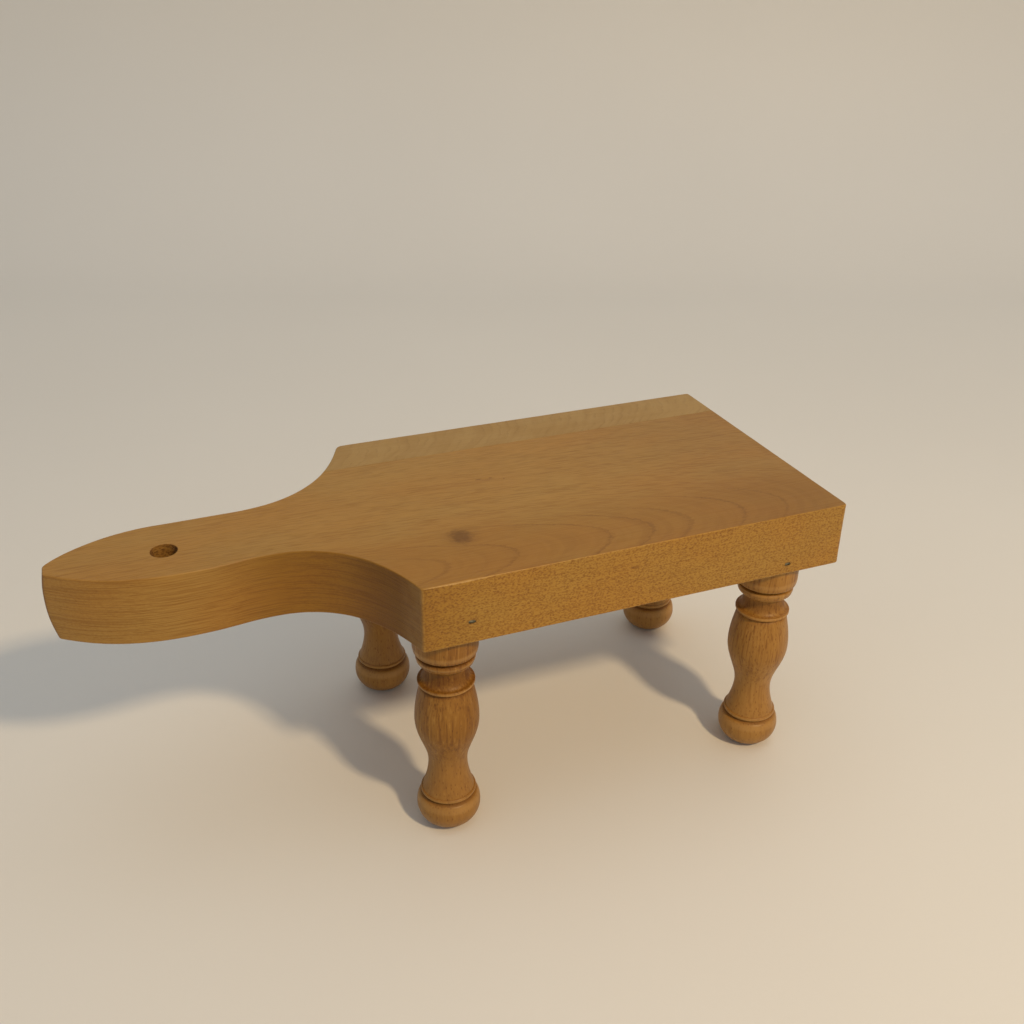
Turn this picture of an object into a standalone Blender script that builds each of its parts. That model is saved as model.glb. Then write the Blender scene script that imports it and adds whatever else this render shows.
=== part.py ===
"""Footed serving board: a small paddle-shaped board on four turned legs.

The board is glued up from a wide main stave, which runs on into the handle, and a narrow edge
stave. Each leg is turned in one piece with a round tenon, which sits in a blind mortise in the
underside. A steel brad driven through the long edge of the board locks each tenon.

Frame: metres, +Z up. The origin is on the floor under the middle of the board's bounding box,
+X runs from the handle to the square end, and -Y is the front long edge.
"""
import math

import bmesh
import bpy
from mathutils import Matrix, Vector

MM = 0.001
GAP = 0.3          # clearance between touching pieces, mm

# Driving dimensions, in mm
BODY_LENGTH = 109.7
HANDLE_LENGTH = 75.9
BOARD_WIDTH = 78.4
BOARD_THICKNESS = 16.5
OVERALL_HEIGHT = 75.0
ARRIS = 0.4        # flat taken off the long edges of the board
TIP_BULGE = 1.3    # how far the handle's end swells at mid thickness
EDGE_STAVE_WIDTH = 14.5
HANG_HOLE_DIAMETER = 6.0
LEG_INSET_HANDLE_END = 8.1
LEG_INSET_SQUARE_END = {"front": 13.8, "back": 12.9}     # the legs are placed by eye
LEG_INSET_SIDE = {"front": 10.2, "back": 8.1}
TENON_RADIUS = 5.0
TENON_LENGTH = 10.0
LEG_SIDES = 24
ROUND_SIDES = 32

# Dimensions that follow from the ones above
UNDERSIDE_Z = OVERALL_HEIGHT - BOARD_THICKNESS
MID_Z = OVERALL_HEIGHT - BOARD_THICKNESS / 2
HALF_LENGTH = (BODY_LENGTH + HANDLE_LENGTH) / 2
HALF_WIDTH = BOARD_WIDTH / 2
SHOULDER_X = HALF_LENGTH - BODY_LENGTH       # where the body ends and the handle starts
GLUE_LINE_Y = HALF_WIDTH - EDGE_STAVE_WIDTH
LEG_Y = {"front": LEG_INSET_SIDE["front"] - HALF_WIDTH, "back": HALF_WIDTH - LEG_INSET_SIDE["back"]}
HANG_HOLE_CENTRE = (SHOULDER_X - 49.3, -2.4)

# Brads: 18 gauge wire, 13 mm long, with a narrow T head, heads just under the wood's surface
BRAD_LENGTH = 13.0
BRAD_WIDTH = 1.25
BRAD_THICKNESS = 1.0
BRAD_HEAD_WIDTH = 2.2
BRAD_HEAD_LENGTH = 0.6
BRAD_POINT_LENGTH = 1.6
BRAD_POINT_WIDTH = 0.3
BRAD_NECK_LENGTH = 0.3     # taper from the head to the wire
BRAD_RECESS = 0.25
HEAD_SLOT_GAP = 0.42       # above and below the head
BRAD_X = {"left": SHOULDER_X + 11.1, "right": SHOULDER_X + 94.1}
BRAD_Z = {"left": UNDERSIDE_Z + 5.6, "right": UNDERSIDE_Z + 2.8}

# Outline of the handle, from the body's corner to the tip, along each side.
# Each row: x measured from the shoulder, y, then the reach of the curve towards the body
# and towards the tip, each as a vector.
FRONT_SIDE = [
    ((-0.2, -39.2), (0.0, 0.0), (-3.9, 14.4)),
    ((-27.4, -12.8), (14.8, 0.0), (-8.6, 0.0)),
    ((-46.6, -14.1), (11.3, 0.0), (-16.7, 0.0)),
    ((-75.9, -3.3), (4.4, -3.1), (0.0, 0.0)),
]
BACK_SIDE = [
    ((0.8, 39.2), (0.0, 0.0), (-5.2, -13.8)),
    ((-32.6, 10.9), (19.9, 0.0), (-5.4, 0.0)),
    ((-50.0, 10.7), (4.5, 0.0), (-13.7, 0.0)),
    ((-75.9, -1.5), (1.4, 3.7), (0.0, 0.0)),
]
BACK_CORNER_CUT = 1.7      # tangent length of the rounded back corner
CORNER_BEND = 0.55         # a curve's reach, as a share of the tangent length, that makes it round
TIP_FULLNESS = 0.335       # the same for the arc across the handle's end, as a share of the thickness / 2
MARGIN = 1.0               # how far a cutter runs past the wood

# Outside of a leg from the tenon down: radius, height, how the line gets there, steps.
LEG_PROFILE = [
    (TENON_RADIUS - 0.4, UNDERSIDE_Z + TENON_LENGTH - GAP, "line", 1),
    (TENON_RADIUS, UNDERSIDE_Z + TENON_LENGTH - 0.7, "line", 1),
    (TENON_RADIUS, UNDERSIDE_Z - GAP, "line", 1),
    (7.95, UNDERSIDE_Z - GAP, "line", 1),        # cap
    (7.85, 52.8, "line", 1),
    (7.2, 51.1, "leaving", 2),
    (6.5, 50.7, "line", 1),                      # groove under the cap
    (7.1, 49.7, "swell", 2),                     # bead
    (6.4, 48.4, "round", 2),
    (5.1, 45.8, "swell", 3),                     # cove
    (6.75, 43.15, "round", 3),
    (6.95, 42.7, "line", 1),                     # rim under the cove
    (6.2, 41.7, "line", 1),                      # groove under the rim
    (6.5, 41.2, "line", 1),
    (7.85, 31.5, "arriving", 3),                 # belly
    (4.8, 18.6, "ogee", 5),                      # waist
    (6.5, 10.5, "leaving", 3),
    (6.85, 9.9, "line", 1),                      # ring
    (6.4, 9.2, "line", 1),
    (8.0, 5.6, "swell", 3),                      # foot
    (2.4, 0.0, "round", 5),
    (0.0, 0.0, "line", 1),
]

MATERIALS = {
    "beech_board": ((0.36, 0.195, 0.042, 1.0), 0.42, 0.0),
    "beech_edge_stave": ((0.36, 0.21, 0.055, 1.0), 0.42, 0.0),
    "beech_leg": ((0.29, 0.14, 0.022, 1.0), 0.45, 0.0),
    "steel_brad": ((0.15, 0.16, 0.13, 1.0), 0.5, 1.0),
}


def clear_scene():
    for old in list(bpy.data.objects):
        bpy.data.objects.remove(old, do_unlink=True)


def new_collection(name):
    collection = bpy.data.collections.new(name)
    bpy.context.scene.collection.children.link(collection)
    return collection


def make_material(name):
    color, roughness, metallic = MATERIALS[name]
    material = bpy.data.materials.new(name)
    material.use_nodes = True
    shader = material.node_tree.nodes["Principled BSDF"]
    shader.inputs["Base Color"].default_value = color
    shader.inputs["Roughness"].default_value = roughness
    shader.inputs["Metallic"].default_value = metallic
    material.diffuse_color = color
    return material


def add_object(name, mesh, collection, material=None):
    obj = bpy.data.objects.new(name, mesh)
    collection.objects.link(obj)
    if material:
        obj.data.materials.clear()
        obj.data.materials.append(material)
    return obj


def mesh_from_curve(curve, place):
    """Turn a filled 2D curve into a welded mesh with whole flat faces, moved to its place."""
    carrier = bpy.data.objects.new("outline", curve)
    bpy.context.scene.collection.objects.link(carrier)
    carrier.matrix_world = place
    bpy.context.view_layer.update()
    depsgraph = bpy.context.evaluated_depsgraph_get()
    mesh = bpy.data.meshes.new_from_object(carrier.evaluated_get(depsgraph))
    mesh.transform(place)
    bm = bmesh.new()
    bm.from_mesh(mesh)
    bmesh.ops.remove_doubles(bm, verts=bm.verts, dist=0.00002)
    bmesh.ops.dissolve_limit(bm, angle_limit=0.001, verts=bm.verts, edges=bm.edges)
    bm.to_mesh(mesh)
    bm.free()
    bpy.data.objects.remove(carrier, do_unlink=True)
    return mesh


def flat_curve(points, half_thickness, resolution=6):
    """Filled 2D Bezier curve; a point is (x, y), reach to the last point, reach to the next, in mm."""
    curve = bpy.data.curves.new("outline", "CURVE")
    curve.dimensions = "2D"
    curve.fill_mode = "BOTH"
    curve.resolution_u = resolution
    curve.extrude = half_thickness * MM
    spline = curve.splines.new("BEZIER")
    spline.bezier_points.add(len(points) - 1)
    for knot, (co, reach_in, reach_out) in zip(spline.bezier_points, points):
        knot.handle_left_type = "FREE"
        knot.handle_right_type = "FREE"
        here = Vector((co[0], co[1], 0.0)) * MM
        knot.co = here
        knot.handle_left = here + Vector((reach_in[0], reach_in[1], 0.0)) * MM
        knot.handle_right = here + Vector((reach_out[0], reach_out[1], 0.0)) * MM
    spline.use_cyclic_u = True
    return curve


def corner(x, y):
    """A sharp outline point."""
    return ((x, y), (0.0, 0.0), (0.0, 0.0))


def board_outline():
    """Plan of the whole board, counter-clockwise from the front of the square end."""
    points = [corner(HALF_LENGTH, HALF_WIDTH)]
    (x, y), _, reach = BACK_SIDE[0]
    x += SHOULDER_X
    length = math.hypot(*reach)
    turn = (reach[0] / length * BACK_CORNER_CUT, reach[1] / length * BACK_CORNER_CUT)
    bend = CORNER_BEND
    points.append(((x + BACK_CORNER_CUT, y), (0.0, 0.0), (-bend * BACK_CORNER_CUT, 0.0)))
    rest = (reach[0] - turn[0], reach[1] - turn[1])
    points.append(((x + turn[0], y + turn[1]), (-bend * turn[0], -bend * turn[1]), rest))
    for (x, y), to_body, to_tip in BACK_SIDE[1:]:
        points.append(((x + SHOULDER_X, y), to_body, to_tip))
    for (x, y), to_body, to_tip in reversed(FRONT_SIDE):
        points.append(((x + SHOULDER_X, y), to_tip, to_body))
    points.append(corner(HALF_LENGTH, -HALF_WIDTH))
    return points


def board_blank():
    """The glued-up board before it is cut."""
    curve = flat_curve(board_outline(), BOARD_THICKNESS / 2)
    return mesh_from_curve(curve, Matrix.Translation((0.0, 0.0, MID_Z * MM)))


def ease_edges(obj):
    """Take a small flat off every sharp edge of the blank."""
    bevel = obj.modifiers.new("arris", "BEVEL")
    bevel.width = ARRIS * MM
    bevel.segments = 1
    bevel.limit_method = "ANGLE"
    bevel.angle_limit = math.radians(40)


def tip_cutter():
    """Everything left of the handle's end, whose side view is an arc across the thickness."""
    half = BOARD_THICKNESS / 2
    edge_x = -HALF_LENGTH + TIP_BULGE
    over = 4 * MARGIN
    slope = 2 * TIP_BULGE / half
    reach = TIP_FULLNESS * half
    far_x = -HALF_LENGTH - 10 * MARGIN
    points = [
        corner(far_x, -half - over),
        corner(edge_x + slope * over, -half - over),
        ((edge_x, -half), (0.0, 0.0), (-slope * reach, reach)),
        ((-HALF_LENGTH, 0.0), (0.0, -reach), (0.0, reach)),
        ((edge_x, half), (-slope * reach, -reach), (0.0, 0.0)),
        corner(edge_x + slope * over, half + over),
        corner(far_x, half + over),
    ]
    curve = flat_curve(points, BOARD_WIDTH, resolution=4)
    upright = Matrix.Translation((0.0, 0.0, MID_Z * MM)) @ Matrix.Rotation(math.pi / 2, 4, "X")
    return mesh_from_curve(curve, upright)


def box_mesh(name, low, high):
    """Axis-aligned box between two corners, in mm."""
    size = [h - l for l, h in zip(low, high)]
    middle = [(h + l) / 2 for l, h in zip(low, high)]
    bm = bmesh.new()
    bmesh.ops.create_cube(bm, size=1.0)
    bmesh.ops.scale(bm, vec=Vector(size) * MM, verts=bm.verts)
    bmesh.ops.translate(bm, vec=Vector(middle) * MM, verts=bm.verts)
    mesh = bpy.data.meshes.new(name)
    bm.to_mesh(mesh)
    bm.free()
    return mesh


def rod_mesh(name, x, y, low_z, high_z, radius, sides):
    """Upright cylinder, in mm."""
    bm = bmesh.new()
    bmesh.ops.create_cone(
        bm, cap_ends=True, segments=sides, radius1=radius * MM, radius2=radius * MM,
        depth=(high_z - low_z) * MM)
    bmesh.ops.translate(bm, vec=Vector((x, y, (high_z + low_z) / 2)) * MM, verts=bm.verts)
    mesh = bpy.data.meshes.new(name)
    bm.to_mesh(mesh)
    bm.free()
    return mesh


def joined_mesh(name, meshes):
    """One mesh that holds several solids that don't touch, to cut them all at once."""
    bm = bmesh.new()
    for mesh in meshes:
        bm.from_mesh(mesh)
    whole = bpy.data.meshes.new(name)
    bm.to_mesh(whole)
    bm.free()
    return whole


def add_cutter(name, mesh, collection):
    cutter = add_object(name, mesh, collection)
    cutter.hide_render = True
    cutter.display_type = "WIRE"
    return cutter


def cut(obj, cutter):
    boolean = obj.modifiers.new(cutter.name, "BOOLEAN")
    boolean.operation = "DIFFERENCE"
    boolean.solver = "EXACT"
    boolean.object = cutter


def brad_outline():
    """T-headed wire with a chisel point, lying along +Y from its head at y = 0."""
    half_head = BRAD_HEAD_WIDTH / 2
    half_wire = BRAD_WIDTH / 2
    taper = BRAD_LENGTH - BRAD_POINT_LENGTH
    half_plan = [(half_head, 0.0), (half_head, BRAD_HEAD_LENGTH),
                 (half_wire, BRAD_HEAD_LENGTH + BRAD_NECK_LENGTH),
                 (half_wire, taper), (BRAD_POINT_WIDTH / 2, BRAD_LENGTH)]
    plan = half_plan + [(-x, y) for x, y in reversed(half_plan)]
    return [corner(x, y) for x, y in plan]


def brad_place(side, end):
    """Where a brad's head sits and which way it is driven."""
    inward = 1 if side == "front" else -1
    head_y = -inward * (HALF_WIDTH - BRAD_RECESS)
    place = Matrix.Translation(Vector((BRAD_X[end], head_y, BRAD_Z[end])) * MM)
    if inward < 0:
        place = place @ Matrix.Rotation(math.pi, 4, "Z")
    return place


def brad_slot(side, end):
    """Room for one brad's head and for its wire, open at the board's edge: two boxes."""
    inward = 1 if side == "front" else -1
    head_y = -inward * (HALF_WIDTH - BRAD_RECESS)
    head_depth = BRAD_HEAD_LENGTH + BRAD_NECK_LENGTH + GAP
    spaces = ((-2 * MARGIN, head_depth, BRAD_HEAD_WIDTH, HEAD_SLOT_GAP),
              (-MARGIN, BRAD_LENGTH + GAP, BRAD_WIDTH, GAP))
    slots = []
    for start, stop, width, gap_z in spaces:
        near_y, far_y = sorted((head_y + inward * start, head_y + inward * stop))
        half_x = width / 2 + GAP
        half_z = BRAD_THICKNESS / 2 + gap_z
        slots.append(box_mesh(
            "slot", (BRAD_X[end] - half_x, near_y, BRAD_Z[end] - half_z),
            (BRAD_X[end] + half_x, far_y, BRAD_Z[end] + half_z)))
    return slots


def run_to(start, stop, way, steps):
    """Profile points after start, up to and including stop."""
    points = []
    for i in range(1, steps + 1):
        t = i / steps
        quarter = t * math.pi / 2
        across, along = {
            "line": (t, t),
            "ogee": ((1 - math.cos(t * math.pi)) / 2, t),
            "leaving": (1 - math.cos(quarter), t),
            "arriving": (math.sin(quarter), t),
            "round": (1 - math.cos(quarter), math.sin(quarter)),
            "swell": (math.sin(quarter), 1 - math.cos(quarter)),
        }[way]
        radius = start[0] + (stop[0] - start[0]) * across
        height = start[1] + (stop[1] - start[1]) * along
        points.append((radius, height))
    return points


def leg_x(side, end):
    """Where the middle of a leg is along the board."""
    if end == "left":
        return SHOULDER_X + LEG_INSET_HANDLE_END
    return HALF_LENGTH - LEG_INSET_SQUARE_END[side]


def leg_points():
    """The leg's profile from the centre of the tenon's top to the centre of the foot."""
    points = [(0.0, LEG_PROFILE[0][1])]
    for radius, height, way, steps in LEG_PROFILE:
        points += run_to(points[-1], (radius, height), way, steps)
    return points


def turned_leg(name, collection, material):
    points = leg_points()
    mesh = bpy.data.meshes.new(name)
    verts = [(radius * MM, 0.0, height * MM) for radius, height in points]
    edges = [(i, i + 1) for i in range(len(points) - 1)]
    mesh.from_pydata(verts, edges, [])
    leg = add_object(name, mesh, collection, material)
    screw = leg.modifiers.new("turn", "SCREW")
    screw.axis = "Z"
    screw.angle = math.tau
    screw.steps = LEG_SIDES
    screw.render_steps = LEG_SIDES
    screw.use_merge_vertices = True
    screw.merge_threshold = 0.00005
    screw.use_smooth_shade = True
    return leg


def build():
    clear_scene()
    parts = new_collection("footed_serving_board")
    cutters = new_collection("cutters")
    materials = {name: make_material(name) for name in MATERIALS}
    places = [(side, end) for side in ("front", "back") for end in ("left", "right")]

    # Cutters shared by the two staves and the tenons
    low_z = UNDERSIDE_Z - MARGIN
    mortise_top = UNDERSIDE_Z + TENON_LENGTH
    mortises = joined_mesh("mortises", [
        rod_mesh(
            "mortise", leg_x(side, end), LEG_Y[side], low_z, mortise_top, TENON_RADIUS + GAP, ROUND_SIDES)
        for side, end in places])
    hole_x, hole_y = HANG_HOLE_CENTRE
    hang_hole = rod_mesh(
        "hole", hole_x, hole_y, low_z, OVERALL_HEIGHT + MARGIN, HANG_HOLE_DIAMETER / 2, ROUND_SIDES)
    wide = HALF_LENGTH + MARGIN
    deep = HALF_WIDTH + MARGIN
    tall = OVERALL_HEIGHT + MARGIN
    glue = GLUE_LINE_Y
    cutter = {
        "tip": add_cutter("cut_tip", tip_cutter(), cutters),
        "mortises": add_cutter("cut_mortises", mortises, cutters),
        "hole": add_cutter("cut_hang_hole", hang_hole, cutters),
        "back_half": add_cutter("cut_behind_glue_line", box_mesh(
            "behind", (-wide, glue - GAP / 2, low_z), (wide, deep, tall)), cutters),
        "front_half": add_cutter("cut_before_glue_line", box_mesh(
            "before", (-wide, -deep, low_z), (wide, glue + GAP / 2, tall)), cutters),
    }
    slots = {}
    for side, end in places:
        head_slot, wire_slot = brad_slot(side, end)
        label = f"{side}_{end}"
        slots[(side, end)] = [
            add_cutter(f"cut_head_{label}", head_slot, cutters),
            add_cutter(f"cut_wire_{label}", wire_slot, cutters),
        ]

    # The two staves
    blank = board_blank()
    main = add_object("board_main_stave", blank, parts, materials["beech_board"])
    edge = add_object("board_edge_stave", blank.copy(), parts, materials["beech_edge_stave"])
    ease_edges(main)
    ease_edges(edge)
    for name in ("back_half", "tip", "hole", "mortises"):
        cut(main, cutter[name])
    for name in ("front_half", "mortises"):
        cut(edge, cutter[name])
    for (side, end), pair in slots.items():
        stave = main if side == "front" else edge
        for slot in pair:
            cut(stave, slot)

    # Legs and brads
    for side, end in places:
        leg = turned_leg(f"leg_{side}_{end}", parts, materials["beech_leg"])
        leg.location = Vector((leg_x(side, end), LEG_Y[side], 0.0)) * MM
        cut(leg, slots[(side, end)][1])
        curve = flat_curve(brad_outline(), BRAD_THICKNESS / 2, resolution=1)
        brad = mesh_from_curve(curve, brad_place(side, end))
        add_object(f"brad_{side}_{end}", brad, parts, materials["steel_brad"])


build()
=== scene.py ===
"""Looks of the footed serving board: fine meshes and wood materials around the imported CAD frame.

Lengths are in mm in the functions that make shapes and wood, and every mesh is scaled to metres at
the end. The floor, the lights and the camera are in metres. Each piece keeps the size and place of
the CAD node that it stands for.
"""
import math

import bmesh
import bpy
import numpy as np
from mathutils import Matrix, Vector, noise


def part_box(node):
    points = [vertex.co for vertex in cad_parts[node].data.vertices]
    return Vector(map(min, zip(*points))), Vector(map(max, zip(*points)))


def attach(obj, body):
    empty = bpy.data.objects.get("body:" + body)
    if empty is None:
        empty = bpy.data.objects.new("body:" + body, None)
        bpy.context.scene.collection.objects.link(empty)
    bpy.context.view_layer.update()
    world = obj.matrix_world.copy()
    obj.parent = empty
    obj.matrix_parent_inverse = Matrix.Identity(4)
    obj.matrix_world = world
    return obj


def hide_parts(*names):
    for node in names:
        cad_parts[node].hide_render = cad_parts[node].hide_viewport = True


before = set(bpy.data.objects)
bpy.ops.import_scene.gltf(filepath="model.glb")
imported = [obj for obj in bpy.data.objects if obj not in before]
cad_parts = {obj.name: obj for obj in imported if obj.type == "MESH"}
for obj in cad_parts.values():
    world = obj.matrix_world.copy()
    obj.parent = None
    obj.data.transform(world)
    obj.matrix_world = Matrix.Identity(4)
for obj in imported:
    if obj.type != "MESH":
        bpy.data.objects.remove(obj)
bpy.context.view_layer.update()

MM = 0.001
SIDES = ("front", "back")
ENDS = ("left", "right")
LEGS = [(side, end) for side in SIDES for end in ENDS]


def box_mm(node):
    """Lowest and highest corner of a CAD node, in mm."""
    low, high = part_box(node)
    return low / MM, high / MM


def centre_mm(node):
    """Middle of a CAD node's box, in mm."""
    low, high = box_mm(node)
    return (low + high) / 2


# ---------------------------------------------------------------- sizes, in mm

MAIN_LOW, MAIN_HIGH = box_mm("board_main_stave")
EDGE_LOW, EDGE_HIGH = box_mm("board_edge_stave")
HALF_LENGTH = MAIN_HIGH.x
HALF_WIDTH = EDGE_HIGH.y
TOP_Z = MAIN_HIGH.z
UNDERSIDE_Z = MAIN_LOW.z
MID_Z = (TOP_Z + UNDERSIDE_Z) / 2
HALF_THICK = (TOP_Z - UNDERSIDE_Z) / 2
GLUE_LINE_Y = (MAIN_HIGH.y + EDGE_LOW.y) / 2
SHOULDER_X = HALF_LENGTH - 109.7         # the body is 109.7 mm long, the rest is handle
GLUE_GAP = 0.05
HAIRLINE = 0.02                          # between pieces that touch

HANG_HOLE = (SHOULDER_X - 49.3, -2.4)
HANG_HOLE_RADIUS = 3.0
HANG_HOLE_LIP = 0.15                     # radius of its rounded lip
HOLE_OVERCUT = 1.0                       # how far cutters stand out of the wood

TIP_BULGE = 1.32                         # how far the handle's end swells
TIP_CREST = 0.15                         # where, as a share of half the thickness above the middle
TIP_SOFTNESS = 0.3

TENON_RADIUS = 5.0
TENON_LENGTH = 10.0
MORTISE_GAP = 0.15

BRAD_WIRE = 1.25                         # width of a brad's wire
BRAD_SLOT_GAP = 0.1

# Outline of the handle from the body's corner to the tip, along each side: x from the shoulder
# and y, then the reach of the curve towards the body and towards the tip.
FRONT_SIDE = [
    ((-0.2, -39.2), (0.0, 0.0), (-3.9, 14.4)),
    ((-27.4, -12.8), (14.8, 0.0), (-8.6, 0.0)),
    ((-46.6, -14.1), (11.3, 0.0), (-16.7, 0.0)),
    ((-75.9, -3.3), (4.4, -3.1), (0.0, 0.0)),
]
BACK_SIDE = [
    ((0.8, 39.2), (0.0, 0.0), (-5.2, -13.8)),
    ((-32.6, 10.9), (19.9, 0.0), (-5.4, 0.0)),
    ((-50.0, 10.7), (4.5, 0.0), (-13.7, 0.0)),
    ((-75.9, -1.5), (1.4, 3.7), (0.0, 0.0)),
]
PLAN_STEP = 0.45                         # spacing of the columns round the board
CORNER_SOFTNESS = 0.42                   # spread of the rounding of the shoulder's corners
END_SOFTNESS = 0.75                      # the same at the square end
BACK_SOFTNESS = 1.1                      # the same at the back corner by the handle

ARRIS = 0.32                             # radius of the eased edges
ARRIS_ANGLES = (0, 15, 30, 45, 60, 75, 90)
FACE_RIM = 0.12                          # from the arris to the edge of the flat face
WALL_LEVELS = (0.015, 0.1, 0.2, 0.3, 0.4, 0.5, 0.6, 0.7, 0.8, 0.9, 0.985)
WORN_ARRIS = 0.4                         # extra radius of the worn stretch of the front edge
WORN_X = SHOULDER_X + 9.0

# Outside of a leg from the tenon down: radius, height, how the line gets there, steps.
LEG_PROFILE = [
    (TENON_RADIUS - 0.5, UNDERSIDE_Z + TENON_LENGTH - 0.3, "line", 1),
    (TENON_RADIUS, UNDERSIDE_Z + TENON_LENGTH - 0.9, "swell", 3),
    (TENON_RADIUS, UNDERSIDE_Z - HAIRLINE, "line", 6),
    (7.8, UNDERSIDE_Z - HAIRLINE, "line", 3),
    (7.95, UNDERSIDE_Z - 0.2, "swell", 3),        # cap
    (7.88, 52.9, "line", 6),
    (7.72, 51.9, "leaving", 3),
    (7.1, 51.2, "round", 4),                      # the cap's lower lip
    (6.45, 50.8, "line", 1),                      # groove under the cap
    (6.4, 50.6, "line", 1),
    (6.9, 50.35, "line", 1),
    (7.15, 49.7, "swell", 4),                     # bead
    (7.0, 49.2, "leaving", 3),
    (6.5, 48.4, "round", 4),
    (5.1, 45.8, "swell", 8),                      # cove
    (6.75, 43.15, "round", 10),
    (6.95, 42.9, "swell", 3),                     # rim
    (6.93, 42.45, "line", 1),
    (6.25, 41.8, "line", 1),                      # groove under the rim
    (6.2, 41.6, "line", 1),
    (6.5, 41.2, "line", 1),
    (7.9, 31.5, "arriving", 14),                  # belly
    (4.8, 18.6, "ogee", 20),                      # waist
    (6.45, 10.55, "leaving", 12),
    (6.9, 10.1, "swell", 3),                      # ring
    (6.85, 9.75, "line", 1),
    (6.35, 9.25, "line", 1),                      # groove above the foot
    (6.35, 9.1, "line", 1),
    (6.75, 8.8, "line", 1),
    (7.95, 5.6, "swell", 8),                      # foot
    (2.5, 0.0, "round", 14),
    (0.0, 0.0, "line", 4),
]
LEG_SIDES = 112
LOW_CAP = {("front", "right"): 0.4}      # how much lower the turner cut the details under a leg's cap


# ---------------------------------------------------------------- mesh helpers

def new_object(name, mesh):
    obj = bpy.data.objects.new(name, mesh)
    bpy.context.scene.collection.objects.link(obj)
    return obj


def mesh_from(name, verts, faces):
    """Mesh from points in mm and faces, in metres."""
    mesh = bpy.data.meshes.new(name)
    mesh.from_pydata([tuple(float(c) * MM for c in v) for v in verts], [], faces)
    mesh.update()
    return mesh


def apply_modifiers(obj):
    """The object keeps what its modifiers make of its mesh, and loses the modifiers."""
    bpy.context.view_layer.update()
    depsgraph = bpy.context.evaluated_depsgraph_get()
    mesh = bpy.data.meshes.new_from_object(obj.evaluated_get(depsgraph))
    obj.modifiers.clear()
    old = obj.data
    obj.data = mesh
    mesh.name = old.name
    bpy.data.meshes.remove(old)


def cut(obj, cutters):
    """Take the cutters out of the object; the cutters stay in the scene."""
    for cutter in cutters:
        boolean = obj.modifiers.new("cut", "BOOLEAN")
        boolean.operation = "DIFFERENCE"
        boolean.solver = "EXACT"
        boolean.object = cutter
    apply_modifiers(obj)


def shade(obj, sharp_degrees, flat_area=None):
    """Smooth shading with sharp creases; faces over flat_area square mm stay flat."""
    mesh = obj.data
    mesh.shade_smooth()
    mesh.set_sharp_from_angle(angle=math.radians(sharp_degrees))
    if flat_area:
        limit = flat_area * MM * MM
        for face in mesh.polygons:
            face.use_smooth = face.area < limit


def wobble(x, y, z, size, seed=0.0):
    """Smooth noise between -1 and 1 that changes over about size mm."""
    return noise.noise(Vector((x / size + seed, y / size - seed, z / size + 2 * seed)))


def run_to(start, stop, way, steps):
    """Profile points after start, up to and including stop."""
    points = []
    for i in range(1, steps + 1):
        t = i / steps
        quarter = t * math.pi / 2
        across, along = {
            "line": (t, t),
            "ogee": ((1 - math.cos(t * math.pi)) / 2, t),
            "leaving": (1 - math.cos(quarter), t),
            "arriving": (math.sin(quarter), t),
            "round": (1 - math.cos(quarter), math.sin(quarter)),
            "swell": (math.sin(quarter), 1 - math.cos(quarter)),
        }[way]
        points.append((start[0] + (stop[0] - start[0]) * across, start[1] + (stop[1] - start[1]) * along))
    return points


def turned(name, points, centre, sides):
    """Solid of revolution round an upright axis through centre, from radius and height pairs, top first."""
    mesh = bpy.data.meshes.new(name)
    verts = [(radius * MM, 0.0, height * MM) for radius, height in points]
    mesh.from_pydata(verts, [(i, i + 1) for i in range(len(points) - 1)], [])
    obj = new_object(name, mesh)
    screw = obj.modifiers.new("turn", "SCREW")
    screw.axis = "Z"
    screw.angle = math.tau
    screw.steps = sides
    screw.render_steps = sides
    screw.use_merge_vertices = True
    screw.merge_threshold = 0.00001
    apply_modifiers(obj)
    obj.data.transform(Matrix.Translation((centre[0] * MM, centre[1] * MM, 0.0)))
    return obj


# ---------------------------------------------------------------- the board

def bezier(start, reach_out, reach_in, stop, steps):
    """Points along one curved stretch of the outline, without its last one."""
    points = []
    for i in range(steps):
        t = i / steps
        a, b, c, d = (1 - t) ** 3, 3 * t * (1 - t) ** 2, 3 * t * t * (1 - t), t ** 3
        points.append([
            a * start[k] + b * (start[k] + reach_out[k]) + c * (stop[k] + reach_in[k]) + d * stop[k]
            for k in (0, 1)])
    return points


def plan_knots():
    """Outline of the board, counter-clockwise from the back of the square end."""
    knots = [((HALF_LENGTH, HALF_WIDTH), (0.0, 0.0), (0.0, 0.0))]
    for (x, y), to_body, to_tip in BACK_SIDE:
        knots.append(((x + SHOULDER_X, y), to_body, to_tip))
    for (x, y), to_body, to_tip in reversed(FRONT_SIDE):
        knots.append(((x + SHOULDER_X, y), to_tip, to_body))
    knots.append(((HALF_LENGTH, -HALF_WIDTH), (0.0, 0.0), (0.0, 0.0)))
    return knots


def softened(plan, spread):
    """The closed outline with its corners rounded by a bell-shaped average along it."""
    reach = int(3 * spread / PLAN_STEP) + 1
    offsets = range(-reach, reach + 1)
    weights = [math.exp(-0.5 * (k * PLAN_STEP / spread) ** 2) for k in offsets]
    total = sum(weights)
    return sum(w / total * np.roll(plan, k, axis=0) for k, w in zip(offsets, weights))


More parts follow.
